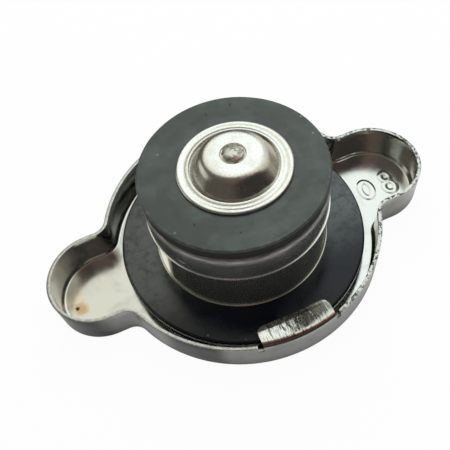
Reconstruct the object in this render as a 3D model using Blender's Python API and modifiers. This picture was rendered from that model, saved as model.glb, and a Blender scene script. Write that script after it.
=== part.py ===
"""Radiator cap with two finger ears, built piece by piece as it comes apart on a bench.

The cap lies on its outer face with the valve plunger up. Z is the cap's axis, the ears run
along X and the two cam tabs are at -Y and +Y. Z = 0 is the shell's outer face.
"""

import math

import bmesh
import bpy

# Driving dimensions in metres

# Shell
SHELL_SHEET = 0.0007
SHELL_HEIGHT = 0.0083
SHELL_CORNER = 0.0014
EAR_OFFSET = 0.0025
EAR_RADIUS = 0.0098
EAR_FILLET = 0.0030
TAB_WIDTH = 0.0142
TAB_LENGTH = 0.0048
TAB_RISE = 0.0003
TAB_BEND = 0.0005
TAB_CORNER = 0.0013
NOTCH_WIDTH = 0.0011
NOTCH_DEPTH = 0.0016
DIMPLE_RADIUS = 0.0080
DIMPLE_SLOPE = 0.0016
DIMPLE_DEPTH = 0.0013

# Rivet at the shell's centre
RIVET_SHANK = 0.0026
RIVET_HEAD_OVERLAP = 0.0026
RIVET_HEAD_HEIGHT = 0.0006
RIVET_CLENCH_OVERLAP = 0.0012
RIVET_CLENCH_HEIGHT = 0.0008
RIVET_WASHER_WIDTH = 0.0023
RIVET_WASHER_HEIGHT = 0.0006
WASHER_EDGE = 0.00012

# Diaphragm spring and gasket
DIAPHRAGM_SHEET = 0.0004
DIAPHRAGM_INSET = 0.0003
DIAPHRAGM_DISH = 0.0009
DIAPHRAGM_LEDGE = 0.0006
DIAPHRAGM_SLOPE = 0.0022
GASKET_WIDTH = 0.0076
GASKET_CLEARANCE = 0.0022
GASKET_HEIGHT = 0.0019
GASKET_EDGE = 0.0003

# Spring can
CAN_SHEET = 0.0005
CAN_RADIUS = 0.0174
CAN_TAPER = 0.0007
CAN_CORNER = 0.0010
CAN_LIP = 0.0004
CAN_LIP_HEIGHT = 0.0008

# Pressure valve
REACH = 0.0205
VALVE_TRAVEL = 0.0021
CUP_SHEET = 0.00045
CUP_DEPTH = 0.00685
CUP_CORNER = 0.0015
CUP_CORNER_ROOM = 0.6
STAKE_COUNT = 4
STAKE_ANGLE = 34.0
STAKE_WIDTH = 0.0018
STAKE_HEIGHT = 0.0010
STAKE_REACH = 0.00018
STAKE_DENT = 0.00022
SEAL_INSET = 0.0002
SEAL_HEIGHT = 0.0025
SEAL_EDGE = 0.0004
SEAL_SEAT_WIDTH = 0.0016
SEAL_RECESS_DEPTH = 0.0015
SEAL_SEAT_DEPTH = 0.0002
FERRULE_SHEET = 0.0004
FERRULE_BORE = 0.0034
FERRULE_FLANGE_GAP = 0.0013
FERRULE_CRIMP_WIDTH = 0.0022
FERRULE_ROUND = 0.0004

# Main spring
MAIN_WIRE = 0.0022
MAIN_SPRING_CLEARANCE = 0.0023
MAIN_TURNS = 4.25

# Vacuum valve
VACUUM_RADIUS = 0.0105
VACUUM_SHEET = 0.0005
VACUUM_FLANGE_WIDTH = 0.0016
VACUUM_BEAD_WIDTH = 0.0008
VACUUM_TROUGH_DEPTH = 0.0006
PLATEAU_RISE = 0.0030
PLATEAU_SHOULDER = 0.0010
VACUUM_TROUGH_WIDTH = 0.0012
DOME_SLOPE = 0.0007
DOME_WAIST_RISE = 0.0010
DOME_FOOT_RISE = 0.0003
STEM_RADIUS = 0.0016
STEM_HEAD_OVERLAP = 0.00065
STEM_HEAD_HEIGHT = 0.0007
STEM_RECESS_MARGIN = 0.0003
STEM_RECESS_DEPTH = 0.0003
STEM_SHOULDER_WIDTH = 0.0014
STEM_SHOULDER_HEIGHT = 0.0006
STEM_FOOT_HEIGHT = 0.0008
VACUUM_WIRE = 0.0006
VACUUM_SPRING_CLEARANCE = 0.0023
VACUUM_TURNS = 5.0
VACUUM_SPRING_LENGTH = 0.0058
SPRING_WASHER_WIDTH = 0.0031
SPRING_WASHER_HEIGHT = 0.0006

# Clearances
SEAT_GAP = 0.0003
HEAD_GAP = 0.00015
BORE_GAP = 0.0003
SLIDE_GAP = 0.00025
VACUUM_PLAY = (0.0004, -0.00015)

# Facets of the turned pieces
WIDE_SEGMENTS = 44
MIDDLE_SEGMENTS = 32
SMALL_SEGMENTS = 20
COIL_POINTS = 14
EAR_STEPS = 6
SKIRT_STEPS = 8
CORNER_STEPS = 3
ROUND_STEPS = 2
STAKE_SEGMENTS = 10
STAKE_RINGS = 6
MERGE = 0.00001
SMOOTH_ANGLE = 35.0

# Heights that follow from the stack, from the outer face up
rivet_head_top = DIMPLE_DEPTH - SEAT_GAP
rivet_head_base = rivet_head_top - RIVET_HEAD_HEIGHT
diaphragm_base = DIMPLE_DEPTH + SHELL_SHEET + SEAT_GAP
can_base = diaphragm_base + DIAPHRAGM_SHEET + SEAT_GAP
can_floor = can_base + CAN_SHEET
rivet_washer_base = can_floor + SEAT_GAP
rivet_clench_base = rivet_washer_base + RIVET_WASHER_HEIGHT + SEAT_GAP
gasket_base = diaphragm_base - DIAPHRAGM_DISH + DIAPHRAGM_SHEET + SEAT_GAP
gasket_face = gasket_base + GASKET_HEIGHT
seal_face = gasket_face + REACH
seal_base = seal_face - SEAL_HEIGHT
cup_top = seal_base - SEAT_GAP
cup_ceiling = cup_top - CUP_SHEET
cup_rim = cup_top - CUP_DEPTH
can_top = cup_ceiling - VALVE_TRAVEL - CUP_CORNER_ROOM * (CUP_CORNER - CUP_SHEET)
vacuum_seat = seal_face - SEAL_SEAT_DEPTH
seal_recess = seal_face - SEAL_RECESS_DEPTH
ferrule_top = seal_recess + SEAT_GAP + FERRULE_SHEET
ferrule_base = cup_ceiling - SEAT_GAP - FERRULE_SHEET
vacuum_flange = vacuum_seat + SEAT_GAP + VACUUM_SHEET
plateau = vacuum_flange + PLATEAU_RISE
stem_recess = plateau - STEM_RECESS_DEPTH
stem_head_base = stem_recess + HEAD_GAP
stem_shoulder_top = stem_recess - VACUUM_SHEET - SEAT_GAP
vacuum_spring_top = ferrule_base - SEAT_GAP
vacuum_spring_base = vacuum_spring_top - VACUUM_SPRING_LENGTH
spring_washer_base = vacuum_spring_base - SEAT_GAP - SPRING_WASHER_HEIGHT
stem_foot_top = spring_washer_base - SEAT_GAP

# Radii that follow from the piece inside or outside
gasket_bore = CAN_RADIUS + BORE_GAP
gasket_radius = gasket_bore + GASKET_WIDTH
skirt_radius = gasket_radius + GASKET_CLEARANCE + SHELL_SHEET
ear_centre = skirt_radius + EAR_OFFSET
tab_reach = skirt_radius - TAB_LENGTH
rivet_bore = RIVET_SHANK + BORE_GAP
rivet_head_radius = RIVET_SHANK + RIVET_HEAD_OVERLAP
rivet_clench_radius = RIVET_SHANK + RIVET_CLENCH_OVERLAP
rivet_washer_radius = rivet_bore + RIVET_WASHER_WIDTH
diaphragm_radius = gasket_radius - DIAPHRAGM_INSET
diaphragm_slope_end = gasket_bore - DIAPHRAGM_LEDGE
can_wall_top = CAN_RADIUS - CAN_TAPER
can_lip_radius = can_wall_top + CAN_LIP
main_coil_radius = can_wall_top - CAN_SHEET - MAIN_SPRING_CLEARANCE - MAIN_WIRE / 2
cup_bore = can_lip_radius + SLIDE_GAP
cup_radius = cup_bore + CUP_SHEET
seal_radius = cup_radius - SEAL_INSET
vacuum_seat_radius = VACUUM_RADIUS + math.hypot(*VACUUM_PLAY) + BORE_GAP
seal_recess_radius = vacuum_seat_radius - SEAL_SEAT_WIDTH
ferrule_hole = FERRULE_BORE + FERRULE_SHEET + BORE_GAP
ferrule_flange = seal_recess_radius - FERRULE_FLANGE_GAP
ferrule_crimp = FERRULE_BORE + FERRULE_CRIMP_WIDTH
vacuum_bead_radius = VACUUM_RADIUS - VACUUM_FLANGE_WIDTH
vacuum_trough_radius = vacuum_bead_radius - VACUUM_BEAD_WIDTH
dome_waist = vacuum_trough_radius - VACUUM_TROUGH_WIDTH
plateau_radius = dome_waist - DOME_SLOPE - PLATEAU_SHOULDER
stem_bore = STEM_RADIUS + BORE_GAP
stem_head_radius = STEM_RADIUS + STEM_HEAD_OVERLAP
stem_shoulder_radius = STEM_RADIUS + STEM_SHOULDER_WIDTH
vacuum_coil_radius = stem_bore + VACUUM_SPRING_CLEARANCE
spring_washer_radius = stem_bore + SPRING_WASHER_WIDTH


def clear_scene():
    for obj in list(bpy.data.objects):
        bpy.data.objects.remove(obj, do_unlink=True)


def new_collection(name):
    collection = bpy.data.collections.new(name)
    bpy.context.scene.collection.children.link(collection)
    return collection


def make_material(name, colour, metallic, roughness):
    material = bpy.data.materials.new(name)
    material.use_nodes = True
    shader = material.node_tree.nodes["Principled BSDF"]
    shader.inputs["Base Color"].default_value = (*colour, 1.0)
    shader.inputs["Metallic"].default_value = metallic
    shader.inputs["Roughness"].default_value = roughness
    return material


def add_empty(name, height, parent, offset=(0.0, 0.0)):
    empty = bpy.data.objects.new(name, None)
    empty.empty_display_size = skirt_radius / 2
    PIECES.objects.link(empty)
    set_parent(empty, parent, height, offset)
    return empty


def set_parent(obj, parent, height, offset=(0.0, 0.0)):
    """Stands an object at a world height, on its parent's axis or beside it."""
    base = 0.0
    above = parent
    while above is not None:
        base += above.location.z
        above = above.parent
    obj.parent = parent
    obj.location = (*offset, height - base)


def add_object(name, data, parent, height, material):
    obj = bpy.data.objects.new(name, data)
    PIECES.objects.link(obj)
    set_parent(obj, parent, height)
    data.materials.append(material)
    return obj


def arc(centre, radius, start, end, steps):
    """Points of an arc in the profile plane, from one angle in degrees to another."""
    points = []
    for step in range(steps + 1):
        angle = math.radians(start + (end - start) * step / steps)
        points.append((centre[0] + radius * math.cos(angle), centre[1] + radius * math.sin(angle)))
    return points


def profile_mesh(name, points, base, closed):
    """A profile of (radius, world height) points as a chain of edges on the X side of the axis."""
    mesh = bpy.data.meshes.new(name)
    count = len(points)
    edges = [(i, i + 1) for i in range(count - 1)]
    if closed:
        edges.append((count - 1, 0))
    mesh.from_pydata([(radius, 0.0, height - base) for radius, height in points], edges, [])
    return mesh


def add_screw(obj, segments):
    screw = obj.modifiers.new("Turned", "SCREW")
    screw.axis = "Z"
    screw.angle = math.tau
    screw.steps = segments
    screw.render_steps = segments
    screw.use_merge_vertices = True
    screw.merge_threshold = MERGE


def add_solidify(obj, thickness):
    solidify = obj.modifiers.new("Sheet", "SOLIDIFY")
    solidify.thickness = thickness
    solidify.offset = -1.0
    solidify.use_even_offset = True
    solidify.use_quality_normals = True


def add_boolean(obj, other, operation):
    boolean = obj.modifiers.new(operation.title(), "BOOLEAN")
    boolean.operation = operation
    boolean.solver = "EXACT"
    boolean.object = other


def turned_solid(name, points, parent, material, segments):
    """A solid of revolution: the profile either starts and ends on the axis or closes clear of it."""
    base = min(height for _, height in points)
    closed = points[0][0] > 0
    obj = add_object(name, profile_mesh(name, points, base, closed), parent, base, material)
    add_screw(obj, segments)
    return obj


def turned_sheet(name, points, sheet, parent, material, segments):
    """A drawn or spun sheet: its outer surface turned, then thickened inwards."""
    base = min(height for _, height in points)
    obj = add_object(name, profile_mesh(name, points, base, False), parent, base, material)
    add_screw(obj, segments)
    add_solidify(obj, sheet)
    return obj


def ring_profile(inner, outer, base, top, edge):
    """A flat ring's section with its two outer edges chamfered."""
    return [
        (inner, top),
        (outer - edge, top),
        (outer, top - edge),
        (outer, base + edge),
        (outer - edge, base),
        (inner, base),
    ]


def outline_quarter(inset):
    """A quarter of the shell's outline, from the ear's tip to the middle of a tab.

    Every arc keeps its centre when the outline is inset, so the rings of the shell match
    point for point.
    """
    fillet_y = EAR_RADIUS + EAR_FILLET
    fillet_x = math.sqrt((skirt_radius + EAR_FILLET) ** 2 - fillet_y**2)
    skirt_start = math.degrees(math.atan2(fillet_y, fillet_x))
    points = arc((ear_centre, 0.0), EAR_RADIUS - inset, 0.0, 90.0, EAR_STEPS)
    points += arc((fillet_x, fillet_y), EAR_FILLET + inset, 270.0, 180.0 + skirt_start, CORNER_STEPS)
    for angle in skirt_angles(skirt_start):
        points.append(
            (
                (skirt_radius - inset) * math.cos(math.radians(angle)),
                (skirt_radius - inset) * math.sin(math.radians(angle)),
            )
        )
    points[-1] = (0.0, points[-1][1])
    return points


def tab_columns():
    """Half a tab's columns from its side to its middle: x, and how far its end is rounded back."""
    half = TAB_WIDTH / 2
    columns = []
    for step in range(CORNER_STEPS + 1):
        turn = math.radians(90.0 * step / CORNER_STEPS)
        columns.append((half - TAB_CORNER * (1 - math.cos(turn)), TAB_CORNER * (1 - math.sin(turn))))
    flat = half - TAB_CORNER
    columns += [(flat * share, 0.0) for share in (0.5, 0.0)]
    return columns


def skirt_angles(start):
    """Angles of the skirt's points after its start: even steps, the notch, then the tab's columns."""
    notch = math.degrees(math.acos((TAB_WIDTH / 2 + NOTCH_WIDTH) / skirt_radius))
    angles = [start + (notch - start) * step / SKIRT_STEPS for step in range(1, SKIRT_STEPS + 1)]
    angles += [math.degrees(math.acos(x / skirt_radius)) for x, _ in tab_columns()]
    return angles


def add_ring(mesh, points, height):
    return [mesh.verts.new((x, y, height)) for x, y in points]


def join_rings(mesh, upper, lower, segments):
    for i in segments:
        mesh.faces.new((upper[i], lower[i], lower[i + 1], upper[i + 1]))


def shell_quarter():
    """The shell's outer surface over a quarter turn, open at both mirror planes."""
    mesh = bmesh.new()
    rim = outline_quarter(0.0)
    every = range(len(rim) - 1)
    tab = tab_columns()
    first_tab = len(rim) - len(tab)
    plain_wall = range(first_tab - 1)

    rim_ring = add_ring(mesh, rim, SHELL_HEIGHT)
    notch_ring = add_ring(mesh, rim, SHELL_HEIGHT - NOTCH_DEPTH)
    join_rings(mesh, rim_ring, notch_ring, plain_wall)
    for vert in rim_ring[first_tab:]:
        mesh.verts.remove(vert)

    # The tab rises from the wall, bends over and runs inwards to its rounded end
    bend = TAB_BEND + SHELL_SHEET
    bend_base = SHELL_HEIGHT + TAB_RISE - bend
    rows = [[(x, tab_reach + back, SHELL_HEIGHT + TAB_RISE) for x, back in tab]]
    for step in range(CORNER_STEPS + 1):
        angle = math.radians(90.0 - 90.0 * step / CORNER_STEPS)
        rows.append(
            [
                (
                    x,
                    math.sqrt(skirt_radius**2 - x**2) - bend * (1 - math.cos(angle)),
                    bend_base + bend * math.sin(angle),
                )
                for x, _ in tab
            ]
        )
    row_verts = [[mesh.verts.new(point) for point in row] for row in rows]
    row_verts.append(notch_ring[first_tab:])
    for upper, lower in zip(row_verts, row_verts[1:]):
        join_rings(mesh, upper, lower, range(len(tab) - 1))

    # Wall, rounded corner and floor
    previous = notch_ring
    for step in range(CORNER_STEPS + 1):
        angle = math.radians(90.0 * step / CORNER_STEPS)
        inset = SHELL_CORNER * (1 - math.cos(angle))
        ring = add_ring(mesh, outline_quarter(inset), SHELL_CORNER * (1 - math.sin(angle)))
        join_rings(mesh, previous, ring, every)
        previous = ring

    # Dimple that takes the rivet's head, around the rivet's hole
    directions = [math.atan2(y, x) for x, y in outline_quarter(SHELL_CORNER)]
    ease = DIMPLE_SLOPE / 3
    ease_rise = DIMPLE_DEPTH / 6
    dimple = [
        (DIMPLE_RADIUS, 0.0),
        (DIMPLE_RADIUS - ease, ease_rise),
        (DIMPLE_RADIUS - DIMPLE_SLOPE + ease, DIMPLE_DEPTH - ease_rise),
        (DIMPLE_RADIUS - DIMPLE_SLOPE, DIMPLE_DEPTH),
        (rivet_bore, DIMPLE_DEPTH),
    ]
    for radius, height in dimple:
        points = [(radius * math.cos(a), radius * math.sin(a)) for a in directions]
        points[0] = (radius, 0.0)
        points[-1] = (0.0, radius)
        ring = add_ring(mesh, points, height)
        join_rings(mesh, previous, ring, every)
        previous = ring

    data = bpy.data.meshes.new("shell")
    mesh.to_mesh(data)
    mesh.free()
    return data


def make_shell(parent, material):
    shell = add_object("shell", shell_quarter(), parent, 0.0, material)
    mirror = shell.modifiers.new("Quarters", "MIRROR")
    mirror.use_axis = (True, True, False)
    mirror.use_mirror_merge = True
    mirror.merge_threshold = MERGE
    add_solidify(shell, SHELL_SHEET)
    return shell


def make_rivet(parent, material):
    clench_top = rivet_clench_base + RIVET_CLENCH_HEIGHT
    round_edge = RIVET_HEAD_HEIGHT / 3
    points = [
        (0.0, clench_top - RIVET_CLENCH_HEIGHT / 2),
        (RIVET_SHANK / 2, clench_top - RIVET_CLENCH_HEIGHT / 2),
        (RIVET_SHANK, clench_top),
        (rivet_clench_radius - round_edge, clench_top - round_edge),
        (rivet_clench_radius, rivet_clench_base + round_edge),
        (rivet_clench_radius, rivet_clench_base),
        (RIVET_SHANK, rivet_clench_base),
        (RIVET_SHANK, rivet_head_top),
        (rivet_head_radius, rivet_head_top),
        (rivet_head_radius, rivet_head_base + round_edge),
        (rivet_head_radius - 2 * round_edge, rivet_head_base),
        (0.0, rivet_head_base),
    ]
    return turned_solid("centre_rivet", points, parent, material, SMALL_SEGMENTS)


def make_rivet_washer(parent, material):
    top = rivet_washer_base + RIVET_WASHER_HEIGHT
    points = ring_profile(rivet_bore, rivet_washer_radius, rivet_washer_base, top, WASHER_EDGE)
    return turned_solid("rivet_washer", points, parent, material, SMALL_SEGMENTS)


def make_diaphragm(parent, material):
    """A dished disc: flat on the rivet, sloping down to the flat that carries the gasket."""
    dished = diaphragm_base - DIAPHRAGM_DISH
    points = [
        (diaphragm_radius, dished),
        (diaphragm_slope_end, dished),
        (diaphragm_slope_end - DIAPHRAGM_SLOPE, diaphragm_base),
        (rivet_bore, diaphragm_base),
    ]
    return turned_sheet("diaphragm_spring", points, DIAPHRAGM_SHEET, parent, material, MIDDLE_SEGMENTS)


def make_gasket(parent, material):
    points = ring_profile(gasket_bore, gasket_radius, gasket_base, gasket_face, GASKET_EDGE)
    return turned_solid("neck_gasket", points, parent, material, WIDE_SEGMENTS)


def make_can(parent, material):
    """A drawn can, its free end flared into the lip that holds the valve cup's stakes."""
    lip_base = can_top - CAN_LIP_HEIGHT
    points = [
        (can_lip_radius, can_top),
        (can_lip_radius, can_top - CAN_LIP_HEIGHT / 2),
        (can_wall_top, lip_base),
    ]
    points += arc((CAN_RADIUS - CAN_CORNER, can_base + CAN_CORNER), CAN_CORNER, 0.0, -90.0, CORNER_STEPS)
    points.append((rivet_bore, can_base))
    return turned_sheet("spring_can", points, CAN_SHEET, parent, material, WIDE_SEGMENTS)


def coil_points(radius, turns, first, last, wire):
    """Points of a compression spring whose end turns are closed."""
    closed_rise = wire + SEAT_GAP
    active_turns = turns - 2
    active_rise = (last - first) - 2 * closed_rise
    count = round(turns * COIL_POINTS)
    points = []
    for i in range(count + 1):
        turn = turns * i / count
        if turn < 1:
            height = first + closed_rise * turn
        elif turn < turns - 1:
            height = first + closed_rise + active_rise * (turn - 1) / active_turns
        else:
            height = last - closed_rise * (turns - turn)
        angle = math.tau * turn
        points.append((radius * math.cos(angle), radius * math.sin(angle), height))
    return points


def make_spring(name, radius, turns, base, top, wire, parent, material):
    """A wire on a helix between two flat seats."""
    curve = bpy.data.curves.new(name, "CURVE")
    curve.dimensions = "3D"
    curve.bevel_depth = wire / 2
    curve.bevel_resolution = 2
    curve.use_fill_caps = True
    spline = curve.splines.new("POLY")
    points = coil_points(radius, turns, base + wire / 2, top - wire / 2, wire)
    spline.points.add(len(points) - 1)
    for point, (x, y, height) in zip(spline.points, points):
        point.co = (x, y, height - base, 1.0)
    return add_object(name, curve, parent, base, material)


def make_cup(parent, material):
    """The valve cup over the can, with stakes pressed through its wall below the can's lip."""
    points = [(ferrule_hole, cup_top)]
    points += arc((cup_radius - CUP_CORNER, cup_top - CUP_CORNER), CUP_CORNER, 90.0, 0.0, CORNER_STEPS)
    points.append((cup_radius, cup_rim))
    cup = turned_sheet("valve_cup", points, CUP_SHEET, parent, material, WIDE_SEGMENTS)
    stake_height = can_top - CAN_LIP_HEIGHT - STAKE_HEIGHT / 2
    bump_depth = cup_bore - can_lip_radius + STAKE_REACH
    add_boolean(cup, stake_cutter("stake_bumps", cup_bore, bump_depth, stake_height), "UNION")
    add_boolean(cup, stake_cutter("stake_dents", cup_radius, STAKE_DENT, stake_height), "DIFFERENCE")
    return cup


def stake_cutter(name, radius, depth, height):
    """Flattened balls around the cup's wall, one at each stake."""
    mesh = bmesh.new()
    for i in range(STAKE_COUNT):
        ball = bmesh.ops.create_uvsphere(
            mesh, u_segments=STAKE_SEGMENTS, v_segments=STAKE_RINGS, radius=0.5
        )["verts"]
        bmesh.ops.scale(mesh, vec=(2 * depth, STAKE_WIDTH, STAKE_HEIGHT), verts=ball)
        bmesh.ops.translate(mesh, vec=(radius, 0.0, height), verts=ball)
        angle = math.radians(STAKE_ANGLE + 360.0 * i / STAKE_COUNT)
        for vert in ball:
            x, y, z = vert.co
            vert.co = (
                x * math.cos(angle) - y * math.sin(angle),
                x * math.sin(angle) + y * math.cos(angle),
                z,
            )
    data = bpy.data.meshes.new(name)
    mesh.to_mesh(data)
    mesh.free()
    cutter = bpy.data.objects.new(name, data)
    CUTTERS.objects.link(cutter)
    cutter.hide_render = True
    cutter.display_type = "WIRE"
    return cutter


def make_seal(parent, material):
    """The rubber ring: a flat face, a seat sunk for the vacuum disc, which rests off centre in it,
    and a recess for the ferrule."""
    points = [
        (ferrule_hole, seal_recess),
        (seal_recess_radius, seal_recess),
        (seal_recess_radius, vacuum_seat),
        (vacuum_seat_radius, vacuum_seat),
        (vacuum_seat_radius, seal_face),
        (seal_radius - SEAL_EDGE, seal_face),
        (seal_radius - SEAL_EDGE / 4, seal_face - SEAL_EDGE / 4),
        (seal_radius, seal_face - SEAL_EDGE),
        (seal_radius, seal_base + SEAL_EDGE),
        (seal_radius - SEAL_EDGE, seal_base),
        (ferrule_hole, seal_base),
    ]
    return turned_solid("pressure_seal", points, parent, material, WIDE_SEGMENTS)


def make_ferrule(parent, material):
    """The flanged eyelet that clamps the seal, crimped over inside the cup."""
    bend = FERRULE_ROUND
    points = [(ferrule_crimp, ferrule_base)]
    points += arc((FERRULE_BORE + bend, ferrule_base + bend), bend, 270.0, 180.0, ROUND_STEPS)
    points += arc((FERRULE_BORE + bend, ferrule_top - bend), bend, 180.0, 90.0, ROUND_STEPS)
    points.append((ferrule_flange, ferrule_top))
    return turned_sheet("seal_ferrule", points, FERRULE_SHEET, parent, material, SMALL_SEGMENTS)


def make_vacuum_disc(parent, material):
    """The pressed disc: recess for the stem's head, flat plateau with a rounded shoulder, waisted
    dome, trough, bead and flange."""
    trough = vacuum_flange - VACUUM_TROUGH_DEPTH
    bead_rise = VACUUM_SHEET / 5
    recess_radius = stem_head_radius + STEM_RECESS_MARGIN
    points = [(stem_bore, stem_recess), (recess_radius, stem_recess), (recess_radius + STEM_RECESS_DEPTH, plateau)]
    points += arc((plateau_radius, plateau - PLATEAU_SHOULDER), PLATEAU_SHOULDER, 90.0, 15.0, CORNER_STEPS)
    points += [
        (dome_waist - VACUUM_BEAD_WIDTH / 3, vacuum_flange + DOME_WAIST_RISE),
        (dome_waist, vacuum_flange + DOME_FOOT_RISE),
        (vacuum_trough_radius - VACUUM_BEAD_WIDTH / 3, trough),
        (vacuum_trough_radius, trough),
        (vacuum_bead_radius - VACUUM_BEAD_WIDTH / 2, vacuum_flange),
        (vacuum_bead_radius, vacuum_flange + bead_rise),
        (vacuum_bead_radius + VACUUM_BEAD_WIDTH / 2, vacuum_flange),
        (VACUUM_RADIUS, vacuum_flange),
    ]
    return turned_sheet("vacuum_disc", points, VACUUM_SHEET, parent, material, MIDDLE_SEGMENTS)


def peened_head(radius, base, height):
    """Points of a domed head from its crown to its edge and down to its base."""
    edge = height / 3
    points = [(0.0, base + height)]
    for step in range(1, CORNER_STEPS + 1):
        angle = math.radians(90.0 - 90.0 * step / CORNER_STEPS)
        points.append((radius * math.cos(angle), base + edge + (height - edge) * math.sin(angle)))
    points.append((radius, base))
    return points


def make_stem(parent, material):
    """The stem: peened head on the plateau, shoulder under it, and a foot that holds the washer."""
    foot_edge = STEM_FOOT_HEIGHT / 3
    shoulder_base = stem_shoulder_top - STEM_SHOULDER_HEIGHT
    foot_base = stem_foot_top - STEM_FOOT_HEIGHT
    points = peened_head(stem_head_radius, stem_head_base, STEM_HEAD_HEIGHT)
    points += [
        (STEM_RADIUS, stem_head_base),
        (STEM_RADIUS, stem_shoulder_top),
        (stem_shoulder_radius, stem_shoulder_top),
        (stem_shoulder_radius, shoulder_base),
        (STEM_RADIUS, shoulder_base),
        (STEM_RADIUS, stem_foot_top),
        (stem_head_radius, stem_foot_top),
        (stem_head_radius, foot_base + foot_edge),
        (stem_head_radius - 2 * foot_edge, foot_base),
        (0.0, foot_base),
    ]
    return turned_solid("vacuum_stem", points, parent, material, SMALL_SEGMENTS)


def make_spring_washer(parent, material):
    top = spring_washer_base + SPRING_WASHER_HEIGHT
    points = ring_profile(stem_bore, spring_washer_radius, spring_washer_base, top, WASHER_EDGE)
    return turned_solid("spring_washer", points, parent, material, SMALL_SEGMENTS)


def apply_and_shade(collection):
    """Turns each mesh's modifiers into its mesh, so that only true edges stay sharp."""
    depsgraph = bpy.context.evaluated_depsgraph_get()
    finished = {}
    for obj in collection.objects:
        if obj.type == "MESH":
            finished[obj] = bpy.data.meshes.new_from_object(obj.evaluated_get(depsgraph))
    for obj, mesh in finished.items():
        obj.modifiers.clear()
        obj.data = mesh
        mesh.shade_smooth()
        mesh.set_sharp_from_angle(angle=math.radians(SMOOTH_ANGLE))


def build_cap():
    chrome = make_material("chrome", (0.72, 0.72, 0.70), 1.0, 0.12)
    steel = make_material("zinc_steel", (0.55, 0.54, 0.50), 1.0, 0.35)
    can_steel = make_material("can_steel", (0.42, 0.42, 0.38), 1.0, 0.22)
    spring_steel = make_material("spring_steel", (0.36, 0.36, 0.36), 1.0, 0.40)
    nickel = make_material("nickel", (0.74, 0.72, 0.68), 1.0, 0.32)
    seal_rubber = make_material("seal_rubber", (0.050, 0.058, 0.056), 0.0, 0.62)
    gasket_rubber = make_material("gasket_rubber", (0.018, 0.024, 0.030), 0.0, 0.50)

    make_shell(None, chrome)
    make_rivet(None, steel)

    swivel = add_empty("swivel_axis", diaphragm_base, None)
    make_rivet_washer(swivel, steel)
    make_diaphragm(swivel, spring_steel)
    make_gasket(swivel, gasket_rubber)
    make_can(swivel, can_steel)
    make_spring(
        "main_spring",
        main_coil_radius,
        MAIN_TURNS,
        can_floor + SEAT_GAP,
        cup_ceiling - SEAT_GAP,
        MAIN_WIRE,
        swivel,
        spring_steel,
    )

    valve = add_empty("valve_slide", cup_rim, swivel)
    make_cup(valve, can_steel)
    make_seal(valve, seal_rubber)
    make_ferrule(valve, steel)
    make_spring(
        "vacuum_spring",
        vacuum_coil_radius,
        VACUUM_TURNS,
        vacuum_spring_base,
        vacuum_spring_top,
        VACUUM_WIRE,
        valve,
        spring_steel,
    )

    vacuum = add_empty("vacuum_slide", vacuum_seat, valve, VACUUM_PLAY)
    make_vacuum_disc(vacuum, nickel)
    make_stem(vacuum, steel)
    make_spring_washer(vacuum, steel)


clear_scene()
PIECES = new_collection("radiator_cap")
CUTTERS = new_collection("cutters")
build_cap()
bpy.context.view_layer.update()
apply_and_shade(PIECES)
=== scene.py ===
"""Looks for a screw-on radiator cap with finger ears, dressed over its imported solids.

Everything is in metres in the cap's own frame: the cap lies on its outer face, Z is its axis, the
ears are at -X and +X and the cam tabs at -Y and +Y.
"""

import math

import bmesh
import bpy
from bpy.props import FloatProperty, FloatVectorProperty, IntProperty, PointerProperty
from bpy.types import Operator, Panel, PropertyGroup
from mathutils import Matrix, Vector, noise


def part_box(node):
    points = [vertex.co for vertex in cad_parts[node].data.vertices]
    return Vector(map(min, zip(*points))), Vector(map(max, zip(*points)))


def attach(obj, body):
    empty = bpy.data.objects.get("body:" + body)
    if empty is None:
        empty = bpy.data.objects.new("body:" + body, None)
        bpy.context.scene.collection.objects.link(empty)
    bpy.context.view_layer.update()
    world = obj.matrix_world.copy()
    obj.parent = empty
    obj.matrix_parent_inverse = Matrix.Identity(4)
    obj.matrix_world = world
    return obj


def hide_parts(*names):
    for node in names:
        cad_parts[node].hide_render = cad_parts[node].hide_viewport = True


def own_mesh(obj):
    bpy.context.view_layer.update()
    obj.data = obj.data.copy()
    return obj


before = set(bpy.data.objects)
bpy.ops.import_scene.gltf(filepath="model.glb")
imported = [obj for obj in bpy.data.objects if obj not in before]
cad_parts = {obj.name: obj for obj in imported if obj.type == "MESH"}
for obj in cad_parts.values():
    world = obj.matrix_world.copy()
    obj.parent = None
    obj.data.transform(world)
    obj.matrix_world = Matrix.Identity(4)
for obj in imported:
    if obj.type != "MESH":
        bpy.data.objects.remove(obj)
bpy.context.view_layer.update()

bl_info = {
    "name": "Radiator cap",
    "version": (1, 0, 0),
    "blender": (4, 5, 0),
    "location": "3D View > Sidebar > Radiator Cap",
    "description": "Builds the visible pieces and finishes of a screw-on radiator cap",
    "category": "Object",
}

# How finely the visible pieces are turned and rounded
TURNED_SEGMENTS = 160
FINE_SEGMENTS = 320
STEM_SEGMENTS = 72
FILLET_STEPS = 5
EAR_STEPS = 28
EAR_FILLET_STEPS = 12
SKIRT_STEPS = 30
CORNER_STEPS = 8
RIM_STEPS = 6
TAB_STEPS = 10
WALL_STEPS = 24
SHARP_ANGLE = math.radians(38.0)
MERGE = 0.00001
ON_AXIS = 1e-7
EDGE_ROUNDING = 0.00014
EDGE_ANGLE = math.radians(50.0)

# Sizes that several pieces share: the holes for the rivet and for the vacuum valve, and the can's rolled lip
RIVET_BORE = 0.0029
VALVE_BORE = 0.0041
CAN_LIP = 0.0008

# Rows of a cam tab as shares from its end to its bend, and the width of the slope around the dimple
TAB_SHARES = (0.0, 0.35, 0.7)
DIMPLE_SLOPE = 0.0016

# Coils: points per turn, sides of the wire, and the air between its closed end turns
COIL_POINTS = 36
WIRE_SIDES = 12
SEAT_GAP = 0.0003

SHEET_SIDES = ("outside", "inside", "edge")
WHITE = (1.0, 1.0, 1.0)

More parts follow.
